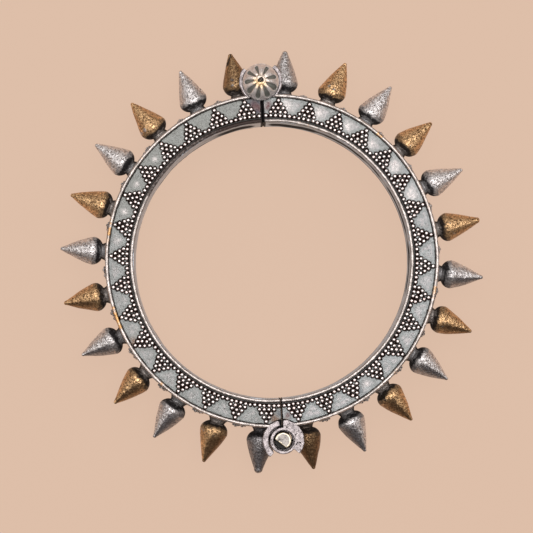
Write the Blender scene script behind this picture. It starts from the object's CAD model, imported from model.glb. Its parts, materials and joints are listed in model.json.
"""The spiked bangle's looks: worked silver, gilding and granulation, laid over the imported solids.

Every length of a piece is in millimetres, and add_piece() turns it into metres. A half of the ring is laid
out by its share: 0 at the hinge's split and 1 at the clasp's. The right half is the one that is modelled, and
the left half is its mirror image with its own seeds, so no two pieces wear alike.

A shape is a tuple of its points, of arrays of faces by their corners' numbers, and of a dictionary of layers.
A layer is a number for each point, from 0 to 1, which the materials read. The layer called patina is how
thickly tarnish lies, and all shapes have it but the plates.
"""
import json
import math

import bpy
import numpy as np
from mathutils import Matrix, Vector


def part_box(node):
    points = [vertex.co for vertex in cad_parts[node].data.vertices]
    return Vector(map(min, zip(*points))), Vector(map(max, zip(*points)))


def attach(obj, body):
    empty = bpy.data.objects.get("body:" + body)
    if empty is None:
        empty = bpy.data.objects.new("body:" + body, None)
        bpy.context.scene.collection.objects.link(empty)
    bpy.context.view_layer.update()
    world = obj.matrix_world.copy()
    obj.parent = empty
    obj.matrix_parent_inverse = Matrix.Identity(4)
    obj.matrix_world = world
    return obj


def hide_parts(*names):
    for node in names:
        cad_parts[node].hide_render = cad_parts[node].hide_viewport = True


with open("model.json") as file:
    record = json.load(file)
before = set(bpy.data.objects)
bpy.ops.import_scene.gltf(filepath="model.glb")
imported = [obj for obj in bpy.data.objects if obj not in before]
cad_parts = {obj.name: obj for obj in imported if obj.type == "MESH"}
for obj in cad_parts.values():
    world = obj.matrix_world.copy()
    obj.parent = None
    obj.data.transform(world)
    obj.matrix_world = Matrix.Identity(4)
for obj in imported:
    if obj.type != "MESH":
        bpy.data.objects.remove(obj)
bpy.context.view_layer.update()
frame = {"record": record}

MM = 0.001
TURN = 2 * math.pi

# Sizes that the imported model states.
mounts = {mount["name"]: mount for mount in frame["record"]["mounts"]}
joints = {joint["name"]: joint for joint in frame["record"]["behaviour"]["joints"]}
WRIST_R = mounts["wrist_opening"]["dims"]["r_mm"]
PIN_R = abs(joints["hinge"]["pos_m"][1]) / MM
BAND_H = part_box("band_right")[1][2] / MM
HINGE_GAP = 2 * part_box("front_face_right")[0][0] / MM

# The band, in the measures of its solids.
FACE_W = 6.4
OUTER_R = WRIST_R + FACE_W
CLASP_GAP = 0.7
SHEET = 0.7
RIM_WIRE_R = 0.4
RIM_Z = RIM_WIRE_R - 0.05
INNER_WIRE_R = WRIST_R + 0.02 + RIM_WIRE_R
OUTER_WIRE_R = OUTER_R - 0.02 - RIM_WIRE_R
FACE_DEPTH = 1.15
PLATE_EDGE = SHEET + 0.15
PLATE_TOP = BAND_H - FACE_DEPTH + 0.58
PLATE_T = 0.5

# The granulation: triangles of rows of granules, whose base rows make one unbroken string.
TRIANGLES = 16
GRAIN_R = 0.43
GRAIN_SINK = 0.36
GRAIN_ROWS = 5
BASE_GRAINS = 6
ROW_PITCH = 0.87
FIRST_ROW_R = WRIST_R + 1.5
# What each half leaves free of triangles beside the hinge and beside the clasp, in degrees.
MARGINS = {"right": (0.2, 0.3), "left": (0.1, 0.6)}

# The spikes.
SPIKES = 24
SPIKE_STEP = TURN / SPIKES
SPIKE_LEN = 10.5
BULB_R = 3.15
FOOT_R = 2.45
NECK_R = 1.72
NECK_H = 1.0
FOOT_LIP = 0.12
BELLY_H = 3.1
BELLY_CORE_R = 0.9
FOOT_POWER = 0.8
FLANK_POWER = 1.22
SEAT_GAP = 0.03

# The florets: granules round a raised one on a base of solder, in two rows on the outer wall.
FLORET_PETALS = 6
FLORET_GRAIN_R = 0.31
FLORET_REACH = 0.56
FLORET_BASE_R = 0.8
FLORET_Z = 3.4
FLORET_STAGGER = 0.5

# The hinge and the clasp.
TUBE_R = 3.0
ROD_R = 1.88
SHANK_R = 1.9
BORE_R = 2.0
COUNTERBORE_R = 2.28
COLLAR_IN_R = 3.32
HINGE_COLLAR_R = 4.65
CLASP_COLLAR_R = 4.8
COLLAR_LAP = 0.45
KNUCKLE_H = 3.4
INNER_KNUCKLE_R = 2.75
INNER_KNUCKLE_Z = (3.5, 6.7)
WEB_START_R = 2.45
SLOT_R = 2.1
HEAD_R = 4.07
HEAD_Z = BAND_H + 0.15
HEAD_RIM = 0.5
HEAD_RISE = 2.4
HEAD_IN = 0.3
HEAD_Y = PIN_R - HEAD_IN
# The heights of the front and of the back collars, and the angles in degrees round the pin where they end.
COLLAR_ZONES = ((BAND_H - KNUCKLE_H, BAND_H), (0, KNUCKLE_H))
HINGE_COLLARS = {"right": (-42, 87), "left": (100, 228)}
CLASP_COLLARS = {"right": (-56, 45), "left": (140, 234)}
# The middles of the rosette's petals, in degrees counter-clockwise from +X.
PETAL_ANGLES = (178.5, 139.6, 103.6, 61.7, 15.5, -26.6, -66.8, -105.0, -145.0)


def smooth(x):
    """An S-shaped ramp: 0 up to x = 0, 1 from x = 1, and 3x² - 2x³ between."""
    x = np.clip(x, 0, 1)
    return x * x * (3 - 2 * x)


def ripple(turns, seed, lowest, highest):
    """Nine sine waves round a full turn, summed: each has a whole number of cycles from lowest to highest."""
    count = 9
    rng = np.random.default_rng(seed)
    cycles = rng.integers(lowest, highest + 1, count)
    phases = rng.uniform(0, TURN, count)
    waves = np.sin(TURN * np.asarray(turns)[..., None] * cycles + phases)
    return waves.sum(-1) / math.sqrt(count)


def lumps(points, seed, wavelength, count=14):
    """Soft lumps through space: sine waves of about one wavelength in random directions, summed."""
    rng = np.random.default_rng(seed)
    heading = rng.normal(size=(count, 3))
    heading /= np.linalg.norm(heading, axis=1)[:, None]
    heading *= (TURN / (wavelength * rng.uniform(0.7, 1.4, count)))[:, None]
    phases = rng.uniform(0, TURN, count)
    return np.sin(points @ heading.T + phases).sum(-1) / math.sqrt(count)


def grid_quads(rows, columns, close_rows):
    """Quads between points numbered row by row. Each row is a closed ring, and the rows may close too."""
    row = np.arange(rows if close_rows else rows - 1)[:, None] * columns
    column = np.arange(columns)[None, :]
    after, beside = (row + columns) % (rows * columns), (column + 1) % columns
    corners = [row + column, row + beside, after + beside, after + column]
    return np.stack(corners, -1).reshape(-1, 4)


def round_axis(radius, turn, z, centre=(0, 0)):
    """Points at a radius, a turn and a height about the upright axis through a centre in plan."""
    radius, turn, z = np.broadcast_arrays(radius, turn, z)
    return np.stack([centre[0] + radius * np.cos(turn), centre[1] + radius * np.sin(turn), z], -1)


def full_turn(count):
    """Angles evenly round a full turn."""
    return np.linspace(0, TURN, count, endpoint=False)


def volume(points, faces):
    """Six times the signed volume: over each face, the corner times the cross product of the next two."""
    total = 0.0
    for group in faces:
        for k in range(1, group.shape[1] - 1):
            a, b, c = points[group[:, 0]], points[group[:, k]], points[group[:, k + 1]]
            total += np.einsum("ij,ij->", a, np.cross(b, c))
    return total


def outward(points, faces, layers):
    """The same closed shape with its faces turned outwards, where its signed volume is positive."""
    if volume(points - points.mean(0), faces) < 0:
        faces = [group[:, ::-1] for group in faces]
    return points, faces, layers


def loft(rows, layers, first=None, last=None, ring=False):
    """A closed shape through rows of points, each a closed ring. It ends in a point where one is given, or
    flat, and as a ring its last row joins its first. An end point takes the mean of each layer over the row
    beside it.
    """
    count, columns = rows.shape[:2]
    points = [rows.reshape(-1, 3)]
    faces = [grid_quads(count, columns, ring)]
    values = {name: [np.asarray(layer, float).reshape(-1)] for name, layer in layers.items()}
    total = count * columns
    if not ring:
        for tip, start in ((first, 0), (last, (count - 1) * columns)):
            loop = np.arange(start, start + columns)
            if start == 0:
                loop = loop[::-1]
            if tip is None:
                faces.append(loop[None, :])
                continue
            points.append(np.asarray(tip, float)[None, :])
            faces.append(np.stack([loop, np.roll(loop, -1), np.full(columns, total)], -1))
            for name in values:
                values[name].append(values[name][0][loop].mean(keepdims=True))
            total += 1
    merged = {name: np.concatenate(value) for name, value in values.items()}
    return outward(np.concatenate(points), faces, merged)


def join(shapes):
    """Several shapes as one, with the corner numbers of each moved past those before it."""
    points, faces, start = [], [], 0
    layers = {name: [] for name in shapes[0][2]}
    for own_points, own_faces, own_layers in shapes:
        points.append(own_points)
        faces += [group + start for group in own_faces]
        for name in layers:
            layers[name].append(own_layers[name])
        start += len(own_points)
    return np.concatenate(points), faces, {name: np.concatenate(value) for name, value in layers.items()}


def repeat(shape, places):
    """A copy of a shape for each place, which is a 3 by 3 matrix and a position, in one array step."""
    points, faces, layers = shape
    turns, positions = places
    count = len(positions)
    moved = np.einsum("nij,pj->npi", turns, points) + positions[:, None, :]
    steps = (np.arange(count) * len(points))[:, None, None]
    faces = [(group[None] + steps).reshape(-1, group.shape[1]) for group in faces]
    return moved.reshape(-1, 3), faces, {name: np.tile(value, count) for name, value in layers.items()}


def mirrored(shape, left):
    """The shape as it is, or on the other side of the split when it belongs to the left half."""
    if not left:
        return shape
    points, faces, layers = shape
    return points * [-1, 1, 1], [group[:, ::-1] for group in faces], layers


def placed(name, data):
    """A new object of the scene with the given data."""
    made = bpy.data.objects.new(name, data)
    bpy.context.scene.collection.objects.link(made)
    return made


def add_piece(name, shape, body, material, replaces):
    """Puts a shape into a mesh, with its layers as point attributes, and lets it ride on a body and stand in
    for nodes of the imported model."""
    points, faces, layers = shape
    mesh = bpy.data.meshes.new(name)
    mesh.vertices.add(len(points))
    mesh.vertices.foreach_set("co", (points * MM).astype(np.float32).ravel())
    sizes = np.concatenate([np.full(len(group), group.shape[1]) for group in faces])
    corners = np.concatenate([group.ravel() for group in faces])
    mesh.loops.add(len(corners))
    mesh.loops.foreach_set("vertex_index", corners.astype(np.int32))
    mesh.polygons.add(len(sizes))
    starts = np.concatenate([[0], np.cumsum(sizes)[:-1]])
    mesh.polygons.foreach_set("loop_start", starts.astype(np.int32))
    mesh.update(calc_edges=True)
    mesh.validate()
    for layer, values in layers.items():
        attribute = mesh.attributes.new(layer, "FLOAT", "POINT")
        attribute.data.foreach_set("value", np.clip(values, 0, 1).astype(np.float32))
    mesh.shade_smooth()
    piece = placed(name, mesh)
    mesh.materials.append(material["shader"])
    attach(piece, body)
    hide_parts(*replaces)


def soft_outline(corners, edge, step):
    """A closed outline through the corners, as points: each corner is cut off an edge away from itself, and
    its sides get a point three edges in, so that shading stays flat, and then one about every step."""
    corners = np.asarray(corners, float)
    points = []
    for here, there in zip(corners, np.roll(corners, -1, 0)):
        length = np.linalg.norm(there - here)
        near = [edge, 3 * edge] if length > 8 * edge else [min(edge, length / 4)]
        inner = np.linspace(near[-1], length - near[-1], max(2, 1 + int(length / step)))
        places = np.concatenate([near[:-1], inner, length - np.array(near[:-1])])
        points.append(here + places[:, None] / length * (there - here))
    return np.concatenate(points)


def half_angle(radius, share):
    """Angle from the hinge's split, about the ring's axis. Both ends lie in the flat faces of the split."""
    first = np.arcsin(HINGE_GAP / 2 / radius)
    last = math.pi - np.arcsin(CLASP_GAP / 2 / radius)
    return first + share * (last - first)


def half_point(radius, angle, z):
    """The point of the right half at a radius and at an angle from the hinge."""
    return np.stack(np.broadcast_arrays(radius * np.sin(angle), -radius * np.cos(angle), z), -1)


def clear_of_pins(radius, angle, hinge_keep, clasp_keep):
    """The radius, pulled in where it comes closer to a pin's axis than the distance to be kept from it."""
    for turned, keep in ((angle, hinge_keep), (math.pi - angle, clasp_keep)):
        aside = PIN_R * np.sin(turned)
        near = (np.abs(aside) < keep) & (np.cos(turned) > 0)
        limit = PIN_R * np.cos(turned) - np.sqrt(np.maximum(keep ** 2 - aside ** 2, 0))
        radius = np.where(near, np.minimum(radius, limit), radius)
    return radius


def spots(points, places):
    """Round stains: for each ring angle in degrees, radius and size, a bell curve of the distance."""
    total = np.zeros(len(points))
    for angle, radius, size in places:
        turned = math.radians(angle)
        centre = radius * np.array([math.cos(turned), math.sin(turned)])
        total += np.exp(-((points[:, :2] - centre) ** 2).sum(1) / size ** 2)
    return total


def band_wall(seed, left):
    """Half of the box of sheet silver: its section is carried from split to split, and its two walls are
    dented by soft lumps along their radius. The left one is cut back round the right half's tubes.

    Its patina fills the recesses, thins out on the outer wall away from the rims, and lies in a crease on the
    inner wall below the front wire. The layer called inside covers the inner wall. The layer called line
    holds that wall's black marks: a ragged band at mid-height, which grows into a lens beside the clasp, and
    a lumpy line along the foot.
    """
    low, high = RIM_Z, BAND_H - RIM_Z
    floor, ceiling = FACE_DEPTH, BAND_H - FACE_DEPTH
    inner, outer = WRIST_R + SHEET, OUTER_R - SHEET
    section = soft_outline([
        (WRIST_R, low), (WRIST_R, high), (inner, high), (inner, ceiling), (outer, ceiling), (outer, high),
        (OUTER_R, high), (OUTER_R, low), (outer, low), (outer, floor), (inner, floor), (inner, low)],
        0.04, 0.7)
    share = np.linspace(0, 1, 340)[:, None]
    radius, z = section[:, 0] + 0 * share, section[:, 1] + 0 * share
    angle = half_angle(radius, share)
    place = half_point(radius, angle, z)
    dents = lumps(place, seed, 7) + 0.4 * lumps(place, seed + 1, 2)
    radius = radius + np.where(radius > outer + 0.3, 0.035 * (dents - 1), 0)
    radius = radius + np.where(radius < inner - 0.3, 0.02 * (dents + 1), 0)
    if left:
        knuckle = (z < KNUCKLE_H + 0.05) | (z > BAND_H - KNUCKLE_H - 0.05)
        radius = np.where(knuckle, clear_of_pins(radius, angle, COLLAR_IN_R, COLLAR_IN_R), radius)
    place = half_point(radius, angle, z)
    outside = smooth((radius - outer) / 0.4)
    inside = smooth((WRIST_R + 0.35 - radius) / 0.2)
    depth = np.minimum(z, BAND_H - z)
    patina = outside * (0.55 - 0.35 * smooth(depth / 3)) + 0.15 * smooth((dents - 0.4) / 1.2)
    patina = patina + 0.95 * (1 - outside) * (1 - inside)

    # Heights of the inner wall's marks, and the shares where they begin and end.
    band_z, foot_z, crease_z = 10.5, 2.4, 17.6
    band_start, foot_start, end = (0.84, 0.62, 0.989) if left else (0.34, 0.08, 0.9965)
    lens_half = 0.0585
    towards_clasp = smooth((share - band_start) / 0.08)
    at_clasp = smooth((share - 0.86) / 0.05)
    ragged = 0.7 * lumps(place, seed + 2, 5)
    lens = np.sqrt(np.clip(1 - ((share - end + lens_half) / lens_half) ** 2, 0, 1))
    tall = 3.4 * (1 - smooth((share - end + 0.018) / 0.016)) + 2.4 * lens
    tall = tall - 2 * smooth((share - end + 0.008) / 0.01)
    line = smooth((tall - np.abs(z - band_z + 2.5 * at_clasp + ragged)) / 2.4 + 0.5)
    broken = np.maximum(smooth(0.9 + 0.5 * ripple(share, seed + 3, 4, 16)), at_clasp)
    line = line * (0.1 + 0.88 * towards_clasp * broken)
    foot = smooth(1.5 - np.abs(z - foot_z + 0.5 * ragged) / 1.1)
    foot = foot * smooth(1 + 0.6 * lumps(place, seed + 5, 3.5))
    foot = foot * (1 - at_clasp) * smooth((share - foot_start) / 0.1)
    line = inside * np.maximum(line, 0.85 * foot)
    crease = smooth(1.3 - np.abs(z - crease_z + 0.2 * ragged) / 0.7)
    patina = patina + inside * crease * 0.7 * smooth(1 + 0.45 * ripple(share, seed + 4, 6, 24))
    patina[[0, -1]] = 1
    return loft(place, {"patina": patina, "inside": inside * (0.5 if left else 0.85), "line": line})


def end_cushion(split_x, towards, bulge, bend):
    """The plate that closes a half at the hinge (towards is -1) or at the clasp (1), pressed out a little:
    rounded oblongs one in another, each nearer to the other half than the one round it. It bends by a sine of
    the height, and the other half's bends the same way, so that no light falls straight through the gap."""
    low, high, outer = 0.5, BAND_H - 0.6, OUTER_R - 0.06
    outline = soft_outline([(WRIST_R, low), (outer, low), (outer, high), (WRIST_R, high)], 0.05, 0.4)
    middle = outline.mean(0)
    shrink = np.array([1, 1, 0.998, 0.994, 0.988, 0.98, 0.965, 0.94, 0.9, 0.8, 0.65, 0.5, 0.35, 0.2])[:, None]
    rise = np.concatenate([[[-0.2]], 1 - shrink[1:] ** 90])
    plan = middle + (outline - middle) * shrink[..., None]
    bent = bulge - bend * np.sin(TURN * plan[..., 1] / BAND_H)
    out = np.where(rise < 0, rise, rise * bent)
    rows = np.stack([split_x - out, towards * plan[..., 0], plan[..., 1]], -1)
    blank = np.zeros(rows.shape[:2])
    from_rim = np.minimum(plan[..., 1], BAND_H - plan[..., 1]) - 1.5
    depth = np.minimum(from_rim, 1.4 * (plan[..., 0] - WRIST_R) - 2)
    return loft(rows, {"patina": 1 - 0.5 * smooth(depth / 2), "inside": blank, "line": blank},
                last=(split_x - bulge, towards * middle[0], middle[1]))


def rim_wire(radius, z, seed, hinge_keep, clasp_keep, gold_at, dulled):
    """A drawn wire along a rim: a circle carried round, thinner and thicker by ripples, and worn flat
    outside. It keeps the given distances from the pins' axes, or else runs from split to split.

    Its layer of gold is a ripple raised round the given ring angles. Its patina lies below, in short dashes
    and from 55 to 175 degrees of the ring. An inner wire is dulled all along, and most from the given share
    on.
    """
    def reach(keep):
        """Angle about the ring's axis, from a pin, at which the wire comes as near to the pin as it may."""
        return math.acos((PIN_R ** 2 + radius ** 2 - keep ** 2) / (2 * PIN_R * radius)) if keep else None
    first, last = reach(hinge_keep), reach(clasp_keep)
    share = np.linspace(0, 1, 460)[:, None]
    turn = full_turn(14)[None, :]
    thick = RIM_WIRE_R * (0.95 + 0.025 * ripple(share, seed, 8, 26) + 0.03 * ripple(share, seed + 1, 30, 90))
    off = 0.03 * ripple(share, seed + 2, 3, 12)
    radii = radius + off + thick * np.cos(turn)
    angle = half_angle(radii, share)
    start = angle[:1] if first is None else np.full_like(angle[:1], first)
    end = angle[-1:] if last is None else np.full_like(angle[:1], math.pi - last)
    angle = start + share * (end - start)
    height = z + (RIM_WIRE_R - thick) * np.sign(BAND_H / 2 - z) + thick * np.sin(turn)
    wear = 0.02 * (1 + ripple(share, seed + 3, 20, 70))
    height = np.clip(height, np.maximum(0, wear - 0.04), BAND_H - np.maximum(0, wear - 0.02))
    ring_degrees = np.degrees(angle) - 90
    gold = 0.1 * ripple(share, seed + 4, 6, 30) + 0.14 * ripple(share, seed + 5, 40, 110)
    for centre, width, strength in gold_at:
        apart = (ring_degrees - centre + 180) % 360 - 180
        gold = gold + strength * np.exp(-(apart / width) ** 2)
    below = smooth(0.5 - 0.9 * np.sin(turn) * np.sign(z - BAND_H / 2))
    dashes = smooth(0.5 * ripple(share, seed + 6, 30, 140) - 0.35)
    darker = smooth((ring_degrees % 360 - 55) / 30) * smooth((175 - ring_degrees % 360) / 30)
    patina = 0.75 * below + 0.55 * dashes + 0.2 * darker
    if dulled is not None:
        patina = patina + 0.15 + 0.55 * smooth((share - dulled) / 0.08)
    return loft(half_point(radii, angle, height), {"patina": patina, "gold": gold + 0 * angle})


def triangle_layout(side):
    """Where the first triangle of a half begins and how wide each is, in radians from the hinge."""
    start, end = np.radians(MARGINS[side])
    return start, (math.pi - start - end) / TRIANGLES


def grain_rows(period):
    """Angle from its triangle's middle and radius of every granule of one triangle."""
    counts = [BASE_GRAINS] + [GRAIN_ROWS - row for row in range(1, GRAIN_ROWS)]
    return np.array([((k - (count - 1) / 2) * period / BASE_GRAINS, FIRST_ROW_R + row * ROW_PITCH)
                     for row, count in enumerate(counts) for k in range(count)])


def grain_distance(radius, angle, side):
    """Distance from each point of a face to the middle of the nearest granule, folded into one triangle."""
    start, period = triangle_layout(side)
    folded = ((angle - start) / period) % 1 - 0.5
    rows = grain_rows(period)
    beside = (BASE_GRAINS + 1) / 2 * period / BASE_GRAINS
    rows = np.concatenate([rows, [[-beside, FIRST_ROW_R], [beside, FIRST_ROW_R]]])
    along = (folded[..., None] * period - rows[:, 0]) * rows[:, 1]
    across = radius[..., None] - rows[:, 1]
    return np.sqrt(along ** 2 + across ** 2).min(-1)


def face_plate(seed, stains, side, duller):
    """The sheet that closes a half's front: a thin closed slab between the rim wires, cut back round the
    collars, with soft lumps on it.

    Its layer called ground is black, and lies within 0.7 mm of a granule's middle and along both wires. The
    layer called middle rises with the distance from the granules, less from the share called duller. The
    layer called dulled is a grey film that is thickest from that share on. Each stain has a layer of its own.
    """
    across, along = 40, 760
    share = np.linspace(0, 1, along)[:, None]
    inner = np.full((along, 1), WRIST_R + PLATE_EDGE)
    outer = clear_of_pins(np.full((along, 1), OUTER_R - PLATE_EDGE), half_angle(inner, share),
                          HINGE_COLLAR_R + 0.06, HEAD_R + 0.2)
    radius = inner + (outer - inner) * np.linspace(0, 1, across)
    angle = half_angle(radius, share)
    flat = half_point(radius, angle, 0)
    z = PLATE_TOP + 0.018 * lumps(flat, seed, 3.2) + 0.008 * lumps(flat, seed + 1, 0.9)
    top = half_point(radius, angle, z)
    under = half_point(radius[:, [-1, 0]], angle[:, [-1, 0]], PLATE_TOP - PLATE_T)
    grime = 0.05 * lumps(flat, seed + 2, 0.6) + 0.04 * lumps(flat, seed + 3, 1.7)
    away = grain_distance(radius, angle, side)
    ground = smooth((0.66 + grime - away) / 0.14)
    ground = np.maximum(ground, smooth((FIRST_ROW_R - 0.1 - radius) / 0.15))
    ground = ground * (1 - 0.42 * smooth((FIRST_ROW_R - 0.4 - radius) / 0.12))
    ground = np.maximum(ground, smooth((radius - outer + 0.17 + 0.6 * grime) / 0.14))
    ground[[0, -1]] = 1
    late = smooth((share - duller) / 0.1)
    middle = smooth((away - 0.85) / 0.7) * smooth((outer - 0.35 - radius) / 0.7) * (1 - 0.85 * late)
    film = 0.35 + 0.3 * late if duller < 1 else 0.22 * smooth((share - 0.6) / 0.2)
    layers = {"ground": ground, "middle": middle, "dulled": film + 0 * radius}
    front = top.reshape(-1, 3)
    for name, places in stains.items():
        patch = spots(front, places) * (0.85 + 0.15 * lumps(front, seed + 4, 0.6))
        layers[name] = patch.reshape(radius.shape)
    layers = {name: np.concatenate([layer, layer[:, [-1, 0]]], 1) for name, layer in layers.items()}
    return loft(np.concatenate([top, under], 1), layers)


def grain_shape(columns, polar_degrees):
    """One granule of radius 1: rings at the given angles from its top, its crown worn a little flat."""
    polar = np.radians(polar_degrees)[:, None]
    rows = round_axis(np.sin(polar), full_turn(columns), np.minimum(np.cos(polar), 0.89))
    patina = smooth((np.broadcast_to(polar, rows.shape[:2]) - 0.42) / 0.75)
    return loft(rows, {"patina": patina}, first=(0, 0, 0.91))


def upright(count, turns):
    """Matrices that turn a shape about its own upright axis."""
    c, s, zero, one = np.cos(turns), np.sin(turns), np.zeros(count), np.ones(count)
    return np.stack([np.stack(row, -1) for row in ((c, -s, zero), (s, c, zero), (zero, zero, one))], 1)


def granules(seed, side):
    """All granules of a half's front, each set a little off its place and a little off its size."""
    rng = np.random.default_rng(seed)
    start, period = triangle_layout(side)
    rows = grain_rows(period)
    middles = start + (np.arange(TRIANGLES) + 0.5) * period
    angle = (middles[:, None] + rows[None, :, 0]).ravel()
    radius = np.tile(rows[:, 1], TRIANGLES)
    count = len(angle)
    angle = angle + rng.normal(0, 0.035, count) / radius
    radius = radius + rng.normal(0, 0.04, count)
    size = GRAIN_R * np.clip(rng.normal(0.985, 0.05, count), 0.86, 1.1)
    z = PLATE_TOP + GRAIN_R - GRAIN_SINK + rng.normal(0, 0.02, count)
    turns = upright(count, rng.uniform(0, TURN, count)) * size[:, None, None]
    z = np.minimum(z, BAND_H - 0.03 - size)
    return repeat(grain_shape(12, [26, 46, 74, 110]), (turns, half_point(radius, angle, z)))


def turned_over(shape):
    """The front's shape laid on the back face, by a half turn about a level axis through the mid-plane: the
    height is mirrored, and the faces are turned round so that they still point outwards."""
    points, faces, layers = shape
    return points * [1, 1, -1] + [0, 0, BAND_H], [group[:, ::-1] for group in faces], layers


def floret_group(seed):
    """The florets of a half's outer wall: granules in a ring round a raised one, on a thin base of solder.
    Each is turned, stretched and moved a little by chance, and none stands beside the hinge or the clasp."""
    rng = np.random.default_rng(seed)
    points, faces, layers = grain_shape(10, [27, 55, 84, 118])
    grain = points, faces, {"patina": 0.6 * layers["patina"]}
    rim = FLORET_BASE_R
    base_r, base_h = np.array([(rim, -0.06), (rim, 0.05), (rim - 0.06, 0.11), (rim - 0.2, 0.14)]).T
    rows = round_axis(base_r[:, None], full_turn(20), base_h[:, None])
    base, base_faces, base_layers = loft(rows, {"patina": np.full(rows.shape[:2], 0.5)}, last=(0, 0, 0.15))
    ring = np.arange(FLORET_PETALS) * TURN / FLORET_PETALS
    level = np.array([0, 0, 1.0])
    shapes = []
    for gap in range(1, SPIKES // 2):
        for side in (-1, 1):
            middle = gap * SPIKE_STEP + rng.normal(0, 0.006)
            tall = rng.uniform(0.92, 1.1)
            petals = rng.uniform(0, TURN) + ring + rng.normal(0, 0.07, FLORET_PETALS)
            reach = FLORET_REACH * rng.uniform(0.93, 1.05, FLORET_PETALS)
            along = np.append(reach * np.cos(petals), rng.normal(0, 0.04))
            across = np.append(reach * np.sin(petals), rng.normal(0, 0.04))
            out = np.append(np.full(FLORET_PETALS, 0.27), 0.52 * tall)
            size = FLORET_GRAIN_R * rng.uniform(0.92, 1.06, FLORET_PETALS + 1)
            tangent = np.array([math.cos(middle), math.sin(middle), 0])
            radial = np.array([math.sin(middle), -math.cos(middle), 0])
            place = OUTER_R * radial + (side * FLORET_STAGGER + rng.normal(0, 0.05)) * tangent
            place = place + [0, 0, BAND_H / 2 + side * FLORET_Z + rng.normal(0, 0.12)]
            axes = np.stack([tangent, level, radial], 1)
            centres = place + along[:, None] * level + across[:, None] * tangent + out[:, None] * radial
            shapes.append(repeat(grain, (axes[None] * size[:, None, None], centres)))
            shapes.append((base @ axes.T + place, base_faces, base_layers))
    return join(shapes)


def spike_outline(length, tip_r):
    """A spike's outline as radii and heights: a foot flared like a quarter of an ellipse, a neck, a bulb that
    is part of an ellipse, a flank that bows a little outwards as it narrows, and a round tip."""
    foot_turn = np.linspace(0, math.pi / 2, 9)
    foot_r = NECK_R + (FOOT_R - NECK_R) * (1 - np.sin(foot_turn)) ** FOOT_POWER
    foot_h = FOOT_LIP + (NECK_H - FOOT_LIP) * (1 - np.cos(foot_turn))
    reach = BULB_R - BELLY_CORE_R
    first = math.asin((NECK_R - BELLY_CORE_R) / reach)
    bulb_turn = np.linspace(first, math.pi / 2, 18)[1:]
    bulb_r = BELLY_CORE_R + reach * np.sin(bulb_turn)
    bulb_h = BELLY_H - (BELLY_H - NECK_H) / math.cos(first) * np.cos(bulb_turn)
    share = np.linspace(0, 1, 40)[1:]
    flank_r = tip_r + (BULB_R - tip_r) * (1 - share ** FLANK_POWER)
    flank_h = BELLY_H + (length - tip_r - BELLY_H) * share
    tip_turn = np.linspace(0, math.pi / 2, 7)[1:-1]
    round_r = tip_r * np.cos(tip_turn)
    round_h = length - tip_r * (1 - np.sin(tip_turn))
    radii = np.concatenate([[FOOT_R], foot_r, bulb_r, flank_r, round_r])
    heights = np.concatenate([[0.0], foot_h, bulb_h, flank_h, round_h])
    return radii, heights


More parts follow.
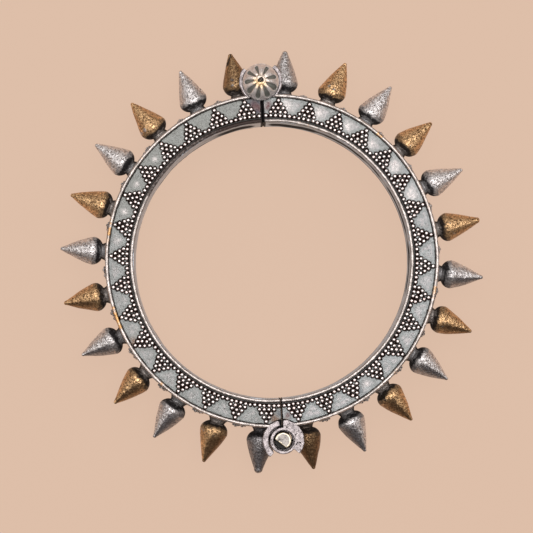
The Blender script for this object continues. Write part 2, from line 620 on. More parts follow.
def spike(number, seed, aside, lean, length, tip_r, slit, dull):
    """One spike: its outline turned about its axis, dented by lumps, pitted, and leaning as it was soldered.
    Three small nubs stand on it, and the front of its tip has a crack with the slope slit, unless that is 0.

    Its patina is dark round the neck, in the pits and in the crack, and faint along both sides. The layer
    called shade is a soft dark on what faces the hinge, on the hinge's side of the ring, and all over a dull
    spike. The layer called worn bares the silver in blotches on the belly, and all over the foot and the
    neck.
    """
    radii, heights = spike_outline(length, tip_r)
    turn = full_turn(72)
    radius, height = radii[:, None] + 0 * turn, heights[:, None] + 0 * turn
    local = round_axis(radius, turn, height)
    soft, small, fine = lumps(local, seed, 4.2), lumps(local, seed + 1, 1.1), lumps(local, seed + 2, 0.5, 20)
    above = smooth((height - 0.9) / 1.5)
    pits = smooth((fine + 0.35 * small - 1.35) / 0.5)
    dent = above * (0.045 * soft + 0.008 * small - 0.035 * pits)
    rng = np.random.default_rng(seed + 3)
    for _ in range(3):
        nub_turn, nub_height = rng.uniform(0, TURN), rng.uniform(2.5, 0.75 * length)
        apart = ((turn - nub_turn + math.pi) % TURN - math.pi) * radius
        dent = dent + 0.07 * np.exp(-(apart ** 2 + (height - nub_height) ** 2) / rng.uniform(0.12, 0.3) ** 2)
    crack = np.zeros_like(radius)
    if slit:
        apart = radius * np.cos(turn) - slit * (0.97 * length - height)
        crack = np.exp(-(apart / 0.22) ** 2) * smooth((height - 0.73 * length) / 0.4)
        crack = crack * smooth(np.sin(turn) / 0.2)
        dent = dent - 0.2 * crack
    radius = radius + dent * smooth((radius - 0.12) / 0.5)

    # u runs round the ring, v along its axis, and the height outwards. The foot follows the outer wall.
    u, v = radius * np.cos(turn), radius * np.sin(turn)
    wall = np.sqrt(np.maximum(OUTER_R ** 2 - u ** 2, 0)) - OUTER_R
    height = height + smooth((NECK_H - height) / NECK_H) * (wall - SEAT_GAP)
    u = u + aside + lean * height / length
    angle = math.pi / 2 + (number - 0.5) * SPIKE_STEP
    radial = np.array([math.cos(angle), math.sin(angle), 0])
    tangent = np.array([-math.sin(angle), math.cos(angle), 0])
    rows = (OUTER_R + SEAT_GAP + height)[..., None] * radial + u[..., None] * tangent
    rows = rows + (BAND_H / 2 + v)[..., None] * np.array([0, 0, 1.0])
    tip = (OUTER_R + SEAT_GAP + length) * radial + (aside + lean) * tangent + [0, 0, BAND_H / 2]

    # How far each point is turned to the front or back, and how squarely it faces the clasp.
    level = np.abs(v) / np.maximum(radius, 0.05)
    slope = np.gradient(radii, heights + 1e-4 * np.arange(len(heights)))[:, None]
    facing = (np.cos(turn) * tangent[1] - slope * radial[1]) / np.sqrt(1 + slope ** 2)
    dark = smooth((3.0 - height + 0.2 * soft + 0.1 * small) / 1.2)
    dark = dark * (1 - 0.55 * smooth((1.7 - height + 0.2 * small) / 0.6) * smooth((level - 0.45) / 0.4))
    sides = 0.3 * smooth((0.75 - level + 0.05 * fine) / 0.7)
    under = smooth((3.6 - height) / 0.7) * smooth((0.93 - level) / 0.25) * above
    patina = np.maximum(np.maximum(0.87 * dark, 0.8 * pits * above), np.maximum(sides, 0.5 * under)) + crack
    on_hinge_side = smooth((0.4 - radial[1]) / 0.6)
    hingeward = 0.82 * on_hinge_side * smooth((-facing - 0.2 + 0.04 * small + 0.03 * fine) / 0.1) * above
    hingeward = hingeward * (1 - 0.4 * smooth((-facing - 0.5) / 0.35))
    hingeward = hingeward * (0.65 + 0.35 * smooth((height - 3.2) / 1.6))
    shade = np.maximum(hingeward, dull * smooth((length + 3.2 - height) / 4))
    worn = smooth((0.4 * soft + 0.5 * small + 0.25 * fine - 0.35) / 0.9)
    worn = worn * smooth(1 - np.abs(height - 3.6) / 2.6)
    worn = np.maximum(0.8 * worn, smooth((2.0 - height + 0.2 * small) / 0.6))
    return loft(rows, {"patina": patina, "worn": worn, "shade": shade}, last=tip)


def circle(centre, radius, angles):
    """Points of a circle about a centre in the plane of the ring, at angles in radians."""
    return np.asarray(centre) + np.stack([radius * np.cos(angles), radius * np.sin(angles)], -1)


def between(inner, outer, low, high, edge, seed=None, pitted=0.0, close=False, bore=0.0):
    """A closed wall between two curves in plan and two heights: at each step along them its section is a
    rounded oblong, carried round. Where it reaches the ring's front or back, pits of the given depth are sunk
    into it. Its patina fills the crevice along its inner curve, and the side there is as dark as bore."""
    width = np.linalg.norm(outer - inner, axis=1).mean()
    section = soft_outline([(0, low), (width, low), (width, high), (0, high)], edge, 0.12)
    share = (section[:, 0] / width)[None, :, None]
    plan = inner[:, None] * (1 - share) + outer[:, None] * share
    z = np.broadcast_to(section[:, 1], plan.shape[:2])
    from_middle = np.abs(z - BAND_H / 2)
    rows = np.concatenate([plan, z[..., None]], -1)
    crevice = smooth(1 - section[:, 0] / 0.3) + 0 * z
    side = smooth(1 - section[:, 0] / 0.06) * smooth((BAND_H / 2 - 0.05 - from_middle) / 0.15)
    patina = np.maximum(0.35 * crevice, bore * side)
    if seed is not None:
        soft, fine = lumps(rows, seed, 1.6), lumps(rows, seed + 1, 0.5, 20)
        sunk = smooth((fine + 0.3 * soft - 1.05) / 0.4)
        face = smooth((from_middle - (BAND_H / 2 - 0.6)) / 0.4)
        rows[..., 2] -= np.sign(z - BAND_H / 2) * pitted * face * (0.3 * smooth(0.5 + 0.5 * soft) + sunk)
        patina = patina + min(8 * pitted, 0.8) * sunk + 0.15 * smooth(soft)
    return loft(rows, {"patina": patina}, ring=close)


def collar(pin_y, ends, inner_r, outer_r, low, high, seed, pitted):
    """Part of a thick collar round a pin, between two angles in degrees, with its ends drawn in round and its
    outer side rippled. Its patina is dark beside the screw's head."""
    first, last = ends
    angles = np.radians(np.linspace(first, last, 150))
    from_end = np.radians(np.minimum(np.degrees(angles) - first, last - np.degrees(angles))) * outer_r
    draw = 0.18 * np.sqrt(np.clip(1 - from_end / 0.18, 0, 1))[:, None]
    centre = (0, pin_y)
    wave = 0.05 * ripple(angles / TURN, seed, 5, 24)[:, None]
    heading = circle(centre, 1, angles) - centre
    inner, outer = centre + heading * (inner_r + draw), centre + heading * (outer_r + wave - draw)
    points, faces, layers = between(inner, outer, low, high, 0.1, seed + 1, pitted)
    beside_head = smooth((HEAD_R + 0.24 - np.hypot(points[:, 0], points[:, 1] - PIN_R + HEAD_IN)) / 0.16)
    layers["patina"] = np.maximum(layers["patina"], 0.85 * beside_head * (points[:, 2] > BAND_H - 0.3))
    return points, faces, layers


def tube(pin_y, low, high, bore_r, seed, bore_x=0.0):
    """A short length of tube round a pin's axis. Its bore may be a little off the middle."""
    angles = full_turn(120)
    return between(circle((bore_x, pin_y), bore_r, angles), circle((0, pin_y), TUBE_R, angles),
                   low, high, 0.14, seed, 0.08, close=True, bore=1.0)


def right_joints(seed):
    """The right half's tubes and collars, in front and at the back, at the hinge and at the clasp."""
    shapes = []
    for k, (low, high) in enumerate(COLLAR_ZONES):
        own, inner_r = seed + 10 * k, TUBE_R - COLLAR_LAP
        shapes += [tube(-PIN_R, low, high, COUNTERBORE_R, own, 0 if k else 0.1),
                   tube(PIN_R, low, high, SLOT_R, own + 2),
                   collar(-PIN_R, HINGE_COLLARS["right"], inner_r, HINGE_COLLAR_R, low, high, own + 4, 0.14),
                   collar(PIN_R, CLASP_COLLARS["right"], inner_r, CLASP_COLLAR_R, low, high, own + 6, 0.1)]
    return join(shapes)


def left_joints(seed):
    """The left half's collars, its closed knuckles round the hinge pin, its open ones round the screw, and
    the webs that join them to the outer wall. Unlike the other shapes, it is laid out on the left side at
    once."""
    shapes = []
    for k, (low, high) in enumerate(COLLAR_ZONES):
        own = seed + 10 * k
        shapes += [
            collar(-PIN_R, HINGE_COLLARS["left"], COLLAR_IN_R, HINGE_COLLAR_R, low, high, own, 0.02),
            collar(PIN_R, CLASP_COLLARS["left"], COLLAR_IN_R, CLASP_COLLAR_R, low, high, own + 2, 0.04)]
    near, far = INNER_KNUCKLE_Z
    hinge, clasp = (0, -PIN_R), (0, PIN_R)
    turn, open_turn = full_turn(96), np.radians(np.linspace(52, 308, 110))
    open_bore = np.where(np.cos(open_turn) > 0, SLOT_R / np.abs(np.sin(open_turn)), SLOT_R)
    open_bore = np.minimum(open_bore, INNER_KNUCKLE_R - 0.06)
    heading = circle((0, 0), 1, open_turn)
    for k, (low, high) in enumerate(((near, far), (BAND_H - far, BAND_H - near))):
        shapes += [between(circle(hinge, BORE_R, turn), circle(hinge, INNER_KNUCKLE_R, turn),
                           low, high, 0.1, seed + 20 + k, close=True),
                   between(clasp + heading * open_bore[:, None], clasp + heading * INNER_KNUCKLE_R,
                           low, high, 0.1, seed + 24 + k)]
        for y, side, gap in ((-PIN_R, 1, HINGE_GAP), (PIN_R, -1, CLASP_GAP)):
            across = np.linspace(-INNER_KNUCKLE_R, -gap / 2, 20)
            start = np.sqrt(np.maximum(WEB_START_R ** 2 - across ** 2, 0.0))
            foot = np.sqrt(OUTER_R ** 2 - across ** 2) - 0.05
            ends = np.stack([across, y + side * start], -1), np.stack([across, -side * foot], -1)
            shapes.append(between(*ends, low, high, 0.1, seed + 28 + k))
    return join(shapes)


def turned_rod(centre, profile, columns, seed, ripples):
    """A solid of revolution about an upright axis: a profile of radii and heights, ending in a point each
    end, with its radius rippled by lumps."""
    profile = np.asarray(profile, float)
    turn = full_turn(columns)
    flat = round_axis(profile[:, :1], turn, profile[:, 1:])
    rows = round_axis(profile[:, :1] * (1 + ripples * lumps(flat, seed, 2.5)), turn, profile[:, 1:], centre)
    patina = 0.15 + 0.3 * smooth(lumps(flat, seed + 1, 0.9))
    return loft(rows, {"patina": patina}, first=(*centre, profile[0, 1]), last=(*centre, profile[-1, 1]))


def hinge_pin(seed):
    """The hinge's pin. Beside a chord its top is cut down a step, as if it had been filed to take a key; the
    lower ledge keeps the fine rings of the lathe, and the upper face has a narrow bevel, which is the layer
    called gold."""
    centre = np.array([-0.08, -PIN_R])
    top, chord, chord_turn = BAND_H - 0.35, 0.9, math.radians(228)
    ledge = top - 1.0
    profile = [(0.2, 0.42), (1.7, 0.42), (1.78, 0.45), (1.83, 0.5), (ROD_R, 0.6), (ROD_R, 1.0)]
    profile += [(ROD_R, z) for z in np.linspace(1.5, ledge - 0.2, 30)]
    profile += [(ROD_R, ledge - 0.05), (1.86, ledge)]
    profile += [(r, ledge - 0.03 * (k % 2)) for k, r in enumerate(np.linspace(1.8, 0.1, 18))]
    points, faces, layers = turned_rod(centre, profile, 72, seed, 0.004)
    layers["patina"] = np.maximum(layers["patina"], smooth((points[:, 2] - top + 2) / 0.6) * 0.85)
    layers["gold"] = np.zeros(len(points))

    # The upper part's outline is the arc beyond the chord and the chord, which is then turned into place.
    edge = math.acos(chord / ROD_R)
    line = np.linspace(-1, 1, 16)[1:-1] * ROD_R * math.sin(edge)
    loop = np.concatenate([circle((0, 0), ROD_R, np.linspace(edge, TURN - edge, 60)),
                           np.stack([np.full_like(line, chord), line], -1)])
    middle = loop.mean(0)
    c, s = math.cos(chord_turn), math.sin(chord_turn)
    turned = np.array([[c, -s], [s, c]])
    # Rings of the upper part, from its foot to its top's middle: size, depth below the top and bevel.
    steps = [(1, 1.04, 0), (1, 0.3, 0), (1, 0.2, 0.3), (0.98, 0.15, 1), (0.9, 0.04, 1), (0.84, 0, 0.75),
             (0.76, 0, 0.4), (0.6, 0, 0), (0.3, 0, 0)]
    rows = np.array([np.column_stack([(middle + (loop - middle) * scale) @ turned.T + centre,
                                      np.full(len(loop), top - depth)]) for scale, depth, _ in steps])
    rows[..., 2] += 0.012 * lumps(rows, seed + 2, 0.8) * (rows[..., 2] > top - 0.1)
    bevel = np.array([step[2] for step in steps])[:, None] + np.zeros(rows.shape[:2])
    patina = (1 - bevel) * (0.2 + 0.35 * smooth(0.5 * lumps(rows, seed + 3, 0.9)))
    key = loft(rows, {"patina": patina, "gold": bevel}, last=np.append(middle @ turned.T + centre, top))
    return join([(points, faces, layers), key])


def rosette_screw(seed):
    """The clasp's screw: a plain shank and a low dome on a thin rim. Nine petals are sunk into the dome, each
    tapered towards an oval eye and as round as a circle at its outer end. The eye is pierced but for a slit,
    and low ridges run between the petals. The pattern was struck off the middle, and its shift fades to
    nothing at the rim.

    Its patina is dark in the eye, below the dome's edge and in the petals' inner ends. The layer called petal
    fills the petals, gold lies round the eye and most at its lower left, and bright lies on the ridges, on
    the rays between the petals and along the petals' rims.
    """
    turn = full_turn(288)
    base_r = HEAD_R - 0.05
    dome_r = (base_r ** 2 + HEAD_RISE ** 2) / (2 * HEAD_RISE)
    radii = np.concatenate([np.linspace(*stretch) for stretch in
                            ((0.05, 0.62, 12), (0.68, 3.75, 70), (3.8, base_r, 8))])
    radius = radii[:, None] + 0 * turn
    dome = np.sqrt(dome_r ** 2 - radius ** 2) - (dome_r - HEAD_RISE)
    groove = np.zeros_like(radius)
    begin = 1.15
    for k, degrees in enumerate(PETAL_ANGLES):
        own = math.radians(degrees)
        outer_end, end_r = (3.8, 0.7) if math.sin(own) < -0.4 else (3.6, 0.52)
        end_r += 0.05 * math.sin(5 * k + 1)
        middle = outer_end - end_r
        along, across = radius * np.cos(turn - own), radius * np.sin(turn - own)
        tapered = end_r * np.clip((along - begin) / (middle - begin), 0, 1) ** 0.7
        rounded = np.sqrt(np.maximum(end_r ** 2 - np.maximum(along - middle, 0) ** 2, 0))
        half = np.where(along < middle, tapered, rounded)
        groove = np.maximum(groove, smooth((half - np.abs(across)) / 0.34 + 0.25) * (along > begin))
    boss = smooth((1.1 - radius) / 0.2)
    eye = smooth((0.66 + 0.1 * np.cos(2 * (turn - 0.3)) + 0.05 * np.cos(3 * (turn - 1.4)) - radius) / 0.18)
    slit = np.exp(-((radius * np.sin(turn - 0.75)) / 0.09) ** 2) * eye
    ridge = np.zeros_like(radius)
    for degrees, beside in zip(PETAL_ANGLES, PETAL_ANGLES[1:] + (PETAL_ANGLES[0] - 360,)):
        apart = (turn - math.radians((degrees + beside) / 2) + math.pi) % TURN - math.pi
        fade = smooth((radius - 1.2) / 0.8) * smooth((3.7 - radius) / 1.2)
        ridge = ridge + np.exp(-(radius * apart / 0.3) ** 2) * fade
    z = HEAD_Z + HEAD_RIM + dome - 0.42 * groove + 0.12 * ridge + 0.06 * boss - 0.5 * eye + 0.3 * slit
    flat = round_axis(radius, turn, 0)
    soft = lumps(flat, seed, 2.2)
    z = z + 0.02 * soft + 0.012 * lumps(flat, seed + 1, 0.6)
    off_middle = 0.32
    top = round_axis(radius, turn, z, (0, HEAD_Y))
    top[..., 1] += off_middle * smooth(1.1 * (1 - radius / base_r))

    # The head's rim and underside and the shank, as radii and heights. Only the shank is on the pin's axis.
    below = [(base_r + 0.02, HEAD_Z + HEAD_RIM), (HEAD_R, HEAD_Z + 0.46), (HEAD_R, HEAD_Z + 0.25),
             (HEAD_R, HEAD_Z + 0.06), (HEAD_R - 0.06, HEAD_Z), (HEAD_R - 0.3, HEAD_Z), (2.2, HEAD_Z),
             (SHANK_R + 0.03, HEAD_Z - 0.02), (SHANK_R, HEAD_Z - 0.1), (SHANK_R, HEAD_Z - 0.4)]
    below += [(SHANK_R, h) for h in np.linspace(HEAD_Z - 1, 1.0, 24)]
    below = np.array(below + [(1.88, 0.55), (1.78, 0.44), (1.7, 0.41), (1.0, 0.4)])[..., None]
    below_r, below_z = below[:, 0], below[:, 1]
    wave = 1 + 0.006 * ripple(turn / TURN, seed + 2, 2, 9)
    centre_y = np.where(below_r > SHANK_R + 0.03, HEAD_Y, PIN_R)
    lower = round_axis(below_r * wave, turn, below_z, (0, centre_y))

    def layer(on_dome, elsewhere=0.0):
        """The layer's values on the dome, and one value for the rest of the screw."""
        return np.concatenate([on_dome, np.full(lower.shape[:2], elsewhere)])
    lower_left = smooth(0.45 - 0.75 * np.sin(turn + 0.45))
    below_edge = smooth((radius - 3.7) / 0.3) * smooth(0.3 - 1.2 * np.sin(turn))
    dark = np.maximum(0.85 * eye - 0.45 * slit, 0.4 * below_edge) + 0.1 * smooth(soft)
    dark = dark + 0.3 * groove * smooth(2.2 - radius)
    gold = 0.85 * smooth((2.7 - radius) / 1.7) * (1 - groove) * (0.35 + 0.65 * lower_left)
    rays = 0.7 * smooth((3.4 - radius) / 1.2) * (1 - groove) * lower_left
    rim = smooth(groove / 0.15) * (1 - smooth((groove - 0.2) / 0.25))
    bright = rays + 0.8 * ridge * (0.35 + 0.65 * lower_left) + 0.7 * rim
    layers = {"patina": layer(dark, 0.45), "gold": layer(gold), "petal": layer(smooth((groove - 0.25) / 0.3)),
              "bright": layer(bright)}
    return loft(np.concatenate([top, lower]), layers, first=(0, HEAD_Y + off_middle, z[0].mean()),
                last=(0, PIN_R, 0.4))


def tone(red, green, blue):
    """A colour as Blender wants it, linear, from its red, green and blue between 0 and 255."""
    share = np.array([red, green, blue]) / 255
    linear = np.where(share <= 0.04045, share / 12.92, ((share + 0.055) / 1.055) ** 2.4)
    return (*linear, 1)


class Shader:
    """A material whose colour is built up in coats over a ground colour."""

    def __init__(self, name, metallic):
        self.material = bpy.data.materials.new(name)
        self.material.use_nodes = True
        self.tree = self.material.node_tree
        self.surface = self.tree.nodes["Principled BSDF"]
        self.surface.inputs["Metallic"].default_value = metallic
        self.surface.inputs["Specular IOR Level"].default_value = 0.25
        self.place = self.node("ShaderNodeTexCoord").outputs["Object"]

    def node(self, kind, links=(), **settings):
        """A new node, with its properties set and its inputs linked to sockets or set to values."""
        made = self.tree.nodes.new(kind)
        for key, value in settings.items():
            setattr(made, key, value)
        for key, value in dict(links).items():
            if isinstance(value, bpy.types.NodeSocket):
                self.tree.links.new(value, made.inputs[key])
            else:
                made.inputs[key].default_value = value
        return made

    def noise(self, size, detail, roughness=0.55):
        """Noise through space, in features of about the given size in millimetres."""
        links = {"Vector": self.place, "Scale": 1 / (size * MM), "Detail": detail, "Roughness": roughness}
        return self.node("ShaderNodeTexNoise", links).outputs["Fac"]

    def ramp(self, value, low, high):
        """0 where the value is low, 1 where it is high, and smooth between."""
        made = self.node("ShaderNodeMapRange", {"Value": value, "From Min": low, "From Max": high},
                         interpolation_type="SMOOTHSTEP")
        return made.outputs["Result"]

    def math(self, operation, a, b, clamp=True):
        """The sum, difference, product or larger of two values, kept between 0 and 1 unless clamp is off."""
        return self.node("ShaderNodeMath", {0: a, 1: b}, operation=operation, use_clamp=clamp).outputs[0]

    def layer(self, name):
        """A layer that the shape carries."""
        return self.node("ShaderNodeAttribute", attribute_name=name).outputs["Fac"]

    def spread(self, value, low, high):
        """The value, between 0 and 1, carried over to a range."""
        made = self.node("ShaderNodeMapRange", {"Value": value, "To Min": low, "To Max": high})
        return made.outputs["Result"]

    def coat(self, below, colour, amount):
        """The colour below, covered by another where the amount is 1. A tuple is a tone between 0 and 255."""
        below, colour = (tone(*each) if isinstance(each, tuple) else each for each in (below, colour))
        made = self.node("ShaderNodeMix", {0: amount, 6: below, 7: colour}, data_type="RGBA")
        return made.outputs[2]

    def ragged(self, name, size, spread=0.5):
        """A layer whose edge is broken up by noise."""
        noise = self.noise(size, 5, 0.6)
        shifted = self.math("ADD", self.layer(name), self.math("SUBTRACT", noise, 0.5, clamp=False))
        return self.ramp(shifted, 0.5 - spread / 2, 0.5 + spread / 2)

    def finish(self, colour, roughness, bumps, metallic=None, pits=None):
        """Links the colour, the roughness and how metallic it is, and roughens the surface by noise of each
        size and depth. Pits are sunk 0.1 mm where their value is 1."""
        self.tree.links.new(colour, self.surface.inputs["Base Color"])
        self.tree.links.new(roughness, self.surface.inputs["Roughness"])
        if metallic is not None:
            self.tree.links.new(metallic, self.surface.inputs["Metallic"])
        normal = None
        if pits is not None:
            normal = self.node("ShaderNodeBump", {"Height": pits, "Distance": 0.1 * MM, "Strength": 1.0},
                               invert=True).outputs["Normal"]
        for size, depth in bumps:
            links = {"Height": self.noise(size, 3), "Distance": depth * MM, "Strength": 1.0}
            if normal is not None:
                links["Normal"] = normal
            normal = self.node("ShaderNodeBump", links).outputs["Normal"]
        self.tree.links.new(normal, self.surface.inputs["Normal"])
        return self.material


def worn_silver(name, light, dull, tarnish, roughness, specked=0.35, bumps=((1.1, 0.1), (0.3, 0.04)),
                coats=(), metal=1.0, speck_size=0.4, mottle_size=1.3, edge_size=0.5, pitted=False,
                matt=None):
    """Old silver: mottled between two tones, tarnished where its layer of patina says and where noise says,
    with further coats that each have a layer, a tone and a size of their ragged edge, or 0 for a soft one.
    The tarnish is no metal, and what lies in the matt layer is neither metal nor smooth. On pitted silver the
    specks are sunk."""
    shader = Shader(name, metal)
    mottle = shader.ramp(shader.noise(mottle_size, 8, 0.7), 0.38, 0.64)
    colour = shader.coat(light, dull, mottle)
    specks = shader.ramp(shader.noise(speck_size, 2 if pitted else 4, 0.6), 0.54, 0.62 if pitted else 0.68)
    colour = shader.coat(colour, tarnish, shader.spread(specks, 0, specked))
    for layer, coat_tone, size in coats:
        colour = shader.coat(colour, coat_tone, shader.ragged(layer, size) if size else shader.layer(layer))
    dark = shader.ragged("patina", edge_size, 0.7)
    colour = shader.coat(colour, tarnish, dark)
    rough = shader.spread(shader.noise(0.8, 4), *roughness)
    rough = shader.math("ADD", rough, shader.spread(dark, 0, 0.15))
    if matt:
        dark = shader.math("MAXIMUM", dark, shader.layer(matt))
        rough = shader.math("MAXIMUM", rough, shader.layer(matt))
    metallic = shader.spread(dark, metal, 0.1)
    return {"shader": shader.finish(colour, rough, bumps, metallic, specks if pitted else None)}


def field_silver(name, bare):
    """The plates' plain triangles: silver mottled between two tones, with a paler middle, a grey film, grime
    and stains that noise breaks up, and the black ground of the granules."""
    shader = Shader(name, 1.0)
    mottle = shader.ramp(shader.noise(1.6, 8, 0.75), 0.36, 0.64)
    colour = shader.coat(bare, (146, 148, 148), mottle)
    middle = shader.layer("middle")
    middle = shader.math("MULTIPLY", middle, shader.ramp(shader.noise(1.2, 8, 0.75), 0.4, 0.6))
    colour = shader.coat(colour, (182, 174, 174), shader.spread(middle, 0, 0.7))
    colour = shader.coat(colour, (122, 121, 116), shader.layer("dulled"))
    grime = shader.ramp(shader.noise(0.4, 4, 0.7), 0.55, 0.66)
    colour = shader.coat(colour, (84, 78, 74), shader.spread(grime, 0, 0.6))
    for layer, (stain, least) in STAIN_TONES.items():
        broken = shader.spread(shader.ramp(shader.noise(0.5, 5, 0.7), 0.38, 0.62), least, 1)
        colour = shader.coat(colour, stain, shader.math("MULTIPLY", shader.layer(layer), broken))
    ground = shader.layer("ground")
    colour = shader.coat(colour, (30, 17, 14), ground)
    rough = shader.spread(shader.noise(0.9, 4), 0.42, 0.58)
    rough = shader.math("ADD", rough, shader.spread(ground, 0, 0.2))
    return {"shader": shader.finish(colour, rough, ((1.3, 0.1), (0.3, 0.09), (0.16, 0.04)))}


# Each stain's tone, and how much of it is left where noise breaks it up.
STAIN_TONES = {"pale": ((218, 208, 205), 0.3), "violet": ((92, 62, 62), 0.75), "rust": ((110, 82, 64), 0.5),
               "blue": ((74, 78, 86), 0.5)}
SPIKE_CAST = {"bumps": ((1.2, 0.05), (0.5, 0.1), (0.3, 0.09)), "speck_size": 0.42, "mottle_size": 0.5,
              "edge_size": 0.35, "pitted": True}
materials = {
    "band": worn_silver("Worn band silver", (222, 222, 226), (176, 174, 176), (24, 20, 20), (0.5, 0.65),
                        coats=[("inside", (188, 201, 214), 0), ("line", (22, 20, 21), 0)], matt="line"),
    "wire": worn_silver("Rim wire silver", (208, 197, 192), (168, 158, 152), (58, 45, 41), (0.35, 0.5),
                        bumps=((0.7, 0.1), (0.25, 0.05)), coats=[("gold", (206, 160, 110), 0.6)]),
    "field": field_silver("Beaded face silver", (130, 132, 131)),
    "grain": worn_silver("Granule silver", (255, 245, 241), (250, 228, 222), (58, 40, 36), (0.24, 0.34), 0.1,
                         bumps=((0.5, 0.03),)),
    "floret": worn_silver("Floret silver", (246, 238, 234), (206, 198, 194), (34, 29, 29), (0.35, 0.5), 0.15,
                          bumps=((0.5, 0.05),)),
    "silver_spike": worn_silver("Spike silver", (246, 240, 238), (192, 184, 183), (30, 27, 28), (0.36, 0.5),
                                0.45, coats=[("worn", (184, 180, 180), 0.4), ("shade", (78, 74, 78), 0)],
                                **SPIKE_CAST),
    "gilt_spike": worn_silver("Spike gilding", (244, 200, 150), (166, 128, 92), (33, 25, 20), (0.3, 0.44),
                              0.58, coats=[("worn", (186, 176, 170), 0.4), ("shade", (78, 58, 43), 0)],
                              **SPIKE_CAST),
    "joint": worn_silver("Hinge and clasp silver", (170, 160, 160), (126, 118, 118), (44, 37, 39),
                         (0.36, 0.5), 0.5, bumps=((0.8, 0.12), (0.25, 0.06))),
    "pin": worn_silver("Pin silver", (138, 131, 126), (117, 111, 107), (28, 23, 21), (0.34, 0.46), 0.15,
                       bumps=((0.8, 0.05),), coats=[("gold", (250, 232, 205), 0.9)]),
    "rosette": worn_silver("Rosette silver", (236, 228, 226), (206, 196, 193), (52, 50, 46), (0.38, 0.48),
                           0.4, bumps=((0.8, 0.1), (0.3, 0.07)), metal=0.8,
                           coats=[("petal", (128, 128, 122), 0), ("bright", (248, 240, 236), 0),
                                  ("gold", (232, 192, 136), 0)]),
}
SLOTS = {"band": "band_silver", "wire": "band_silver", "joint": "band_silver", "field": "beaded_silver",
         "grain": "beaded_silver", "floret": "beaded_silver", "silver_spike": "spike_silver",
         "gilt_spike": "spike_gilt", "pin": "pin_silver", "rosette": "rosette_silver"}
for key, slot_name in SLOTS.items():
    materials[key]["slot"] = slot_name

# Where the front outer wires show gold: ring angle and half width in degrees, and strength.
GOLD_AT = {"right": [(45, 2.5, 0.5), (22, 9, 0.22), (-14, 4, 0.5), (-46, 3, 0.3)],
           "left": [(167, 5, 0.55), (197, 5, 0.85), (225, 2, 0.4), (137, 3, 0.25)]}
# Stains on the front of the faces: ring angle in degrees, radius and size. The back has none of its own.
STAINS = {
    "right": {"pale": [(81, 34.6, 1.3), (69, 34.4, 1.3), (57, 34.4, 1), (46, 34.2, 1), (34, 34.4, 1.3),
                       (22, 34.4, 1.3), (-56, 34.5, 0.55)],
              "violet": [(87.6, 34.9, 0.7), (88.2, 34, 0.5), (-87.8, 34.6, 0.6)],
              "rust": [(-88.6, 35.5, 0.5)], "blue": [(-60, 34.8, 0.8)]},
    "left": {"pale": [(169, 34.6, 0.5), (158, 34.6, 0.6), (147, 34.6, 0.55), (135.5, 34.6, 0.55)],
             "violet": [(92, 34.6, 1.1), (93.2, 35.2, 1), (91.4, 33.6, 0.8)],
             "rust": [(-93, 35, 1), (-91.8, 35.6, 0.6), (207, 35.7, 1.2)],
             "blue": [(-91.0, 34.1, 0.65), (94.6, 35.7, 1.1), (91.3, 35.6, 0.8), (92.2, 33.3, 0.7)]}}
# The share of its length from which a half is dull: its inner wires, and its faces' plain triangles.
DULL_WIRES = {"right": 1.2, "left": 0.62}
DULL_FACES = {"right": 1.2, "left": 0.55}
# The end plates: the gap, the end (-1 at the hinge), how far the plate bulges and how far it bends.
END_PLATES = ((HINGE_GAP, -1, 0.12, 0.07), (CLASP_GAP, 1, 0.29, 0.14))
# The outer wires run this far into the collars.
WIRE_SUNK = 0.35


def laid_out(places, left):
    """Places that begin with a ring angle, as they lie on a half before the left one is mirrored."""
    return [(180 - angle if left else angle, *rest) for angle, *rest in places]


for side in ("right", "left"):
    left = side == "left"
    body = side + "_half"
    seed = 100 if left else 10
    way = -1 if left else 1
    box = [band_wall(seed, left)]
    box += [end_cushion(gap / 2, towards, bulge, bend * way) for gap, towards, bulge, bend in END_PLATES]
    add_piece(f"box_{side}", mirrored(join(box), left), body, materials["band"], [f"band_{side}"])
    collars = (left_joints if left else right_joints)(seed + 60)
    add_piece(f"collars_{side}", collars, body, materials["joint"], [f"band_{side}"])
    golds = laid_out(GOLD_AT[side], left)
    wires = []
    for z in (BAND_H - RIM_Z, RIM_Z):
        wires.append(rim_wire(INNER_WIRE_R, z, seed + 20 + 7 * len(wires), None, None, [], DULL_WIRES[side]))
    for z, own_golds in ((BAND_H - RIM_Z, golds), (RIM_Z, [])):
        wires.append(rim_wire(OUTER_WIRE_R, z, seed + 20 + 7 * len(wires), HINGE_COLLAR_R - WIRE_SUNK,
                              CLASP_COLLAR_R - WIRE_SUNK, own_golds, None))
    add_piece(f"rim_wires_{side}", mirrored(join(wires), left), body, materials["wire"], [f"band_{side}"])
    for face, later in (("front", 0), ("back", 10)):
        shown = STAINS[side] if face == "front" else dict.fromkeys(STAINS[side], [])
        stains = {name: laid_out(places, left) for name, places in shown.items()}
        plate = face_plate(seed + 5 + later, stains, side, DULL_FACES[side])
        beads = granules(seed + 7 + later, side)
        if face == "back":
            plate, beads = turned_over(plate), turned_over(beads)
        node = f"{face}_face_{side}"
        add_piece(f"{face}_field_{side}", mirrored(plate, left), body, materials["field"], [node])
        add_piece(f"{face}_granules_{side}", mirrored(beads, left), body, materials["grain"], [node])
    add_piece(f"floret_beads_{side}", mirrored(floret_group(seed + 40), left), body, materials["floret"],
              [f"florets_{side}"])

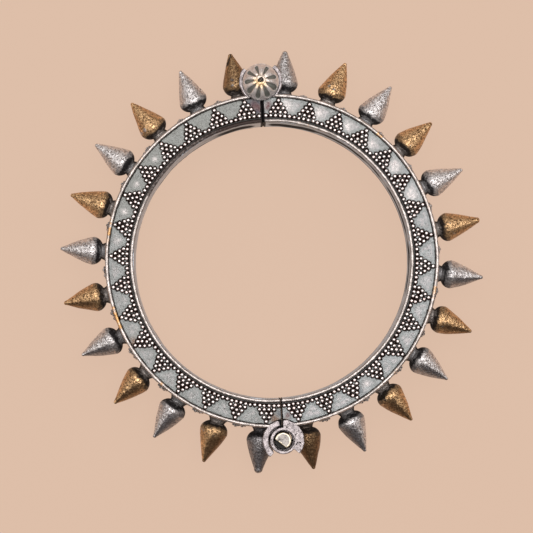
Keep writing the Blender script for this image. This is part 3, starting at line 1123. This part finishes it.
# How far each spike's foot stands off an even spacing, and how far its tip leans beyond that, in millimetres
# counter-clockwise, as measured beside the middle lines of the photo's spikes.
STANDS = ((0.1, 0.1), (0.09, -0.41), (0.23, 0.18), (0.21, 0.1), (0.24, 0.21), (0.31, 0), (0.25, 0),
          (0.23, -0.1), (0.06, 0.7), (0.03, 0), (0, 0.06), (0.2, -0.1), (0.1, 0.2), (0.21, -0.13),
          (0.12, 0.14), (0.31, -0.29), (0, -0.43), (-0.14, -0.24), (-0.11, 0.3), (0, -0.32), (-0.1, -0.08),
          (0.02, -0.4), (-0.22, -1.07), (-0.1, 0.3))
# The tips that are worn blunt, and all others: radius of the tip, and what is missing from the length.
BLUNT = {1: (0.55, 0.1), 12: (1.0, 0.05), 19: (0.64, 0.05), 24: (0.6, 0.3)}
SHARP = (0.43, 0.1)
# The spikes that are darker than their neighbours, and by how much. The first has a crack of this slope.
DULL = {1: 0.5, 12: 0.64, 13: 0.72, 24: 0.25}
CRACKED = {1: 0.54}
for number in range(1, SPIKES + 1):
    metal = "gilt" if number % 2 else "silver"
    body = "left_half" if number <= SPIKES // 2 else "right_half"
    tip_r, short = BLUNT.get(number, SHARP)
    shape = spike(number, 500 + 11 * number, *STANDS[number - 1], SPIKE_LEN - short, tip_r,
                  CRACKED.get(number, 0), DULL.get(number, 0))
    add_piece(f"{metal}_bulb_{number:02d}", shape, body, materials[f"{metal}_spike"],
              [f"{metal}_spike_{number:02d}"])

add_piece("lathed_pin", hinge_pin(seed=900), "right_half", materials["pin"], ["hinge_pin"])
add_piece("rosette", rosette_screw(seed=950), "clasp_screw", materials["rosette"], ["clasp_screw"])


# The studio: a floor, soft panels over the camera and on three sides, and a weak pale sky.
def floor_plane(size, z):
    """A square of paper that shines a little itself, so that hardly a shadow shows on it, as in the photo.
    Its size and height are in metres."""
    mesh = bpy.data.meshes.new("floor")
    corners = [(-size, -size, z), (size, -size, z), (size, size, z), (-size, size, z)]
    mesh.from_pydata(corners, [], [(0, 1, 2, 3)])
    plane = placed("floor", mesh)
    material = bpy.data.materials.new("Lit paper")
    material.use_nodes = True
    surface = material.node_tree.nodes["Principled BSDF"]
    for socket, value in {"Base Color": tone(64, 54, 47), "Emission Color": tone(222, 191, 169),
                          "Emission Strength": 0.92, "Roughness": 1.0, "Specular IOR Level": 0.0}.items():
        surface.inputs[socket].default_value = value
    mesh.materials.append(material)


def panel(name, place, size, power):
    """A soft square light that faces the bangle. Its place and size are in metres and its power in watts."""
    light = bpy.data.lights.new(name, "AREA")
    light.size, light.energy = size, power
    lamp = placed(name, light)
    lamp.location = place
    lamp.rotation_euler = (-Vector(place)).to_track_quat("-Z", "Y").to_euler()


floor_plane(size=3, z=-0.0002)
panel("overhead panel", (0.06, 0.16, 1.6), 1.2, 20.5)
panel("far panel", (-0.1, 2.0, 1.05), 0.9, 4)
panel("right panel", (1.3, 0.25, 1.3), 0.9, 6)
panel("left panel", (-1.3, 0.25, 1.3), 0.9, 5)
world = bpy.data.worlds.new("Studio")
bpy.context.scene.world = world
world.use_nodes = True
sky = world.node_tree.nodes["Background"].inputs
sky["Color"].default_value = tone(244, 238, 232)
sky["Strength"].default_value = 0.2

# The camera: straight down but for a small tilt, turned and moved aside as the photo's circles show.
DISTANCE, FOCAL_PX, IMAGE_PX = 882.6, 3969.5, 533
TILT, ROLL_DEG, ASIDE, ASIDE_UP = (-0.0064, -0.0164, 1), 3.628, 1.236, 1.315
back = Vector(TILT).normalized()
roll = math.radians(ROLL_DEG)
right = Vector((math.sin(roll), math.cos(roll), 0)).cross(back).normalized()
up = back.cross(right)
lens = bpy.data.cameras.new("camera")
lens.sensor_fit, lens.sensor_width = "HORIZONTAL", 36
lens.lens = FOCAL_PX / IMAGE_PX * lens.sensor_width
camera = placed("camera", lens)
place = (Vector((0, 0, BAND_H)) + back * DISTANCE - ASIDE * right - ASIDE_UP * up) * MM
camera.matrix_world = Matrix.LocRotScale(place, Matrix((right, up, back)).transposed().to_quaternion(), None)
bpy.context.scene.camera = camera
bpy.context.scene.view_settings.view_transform = "Standard"
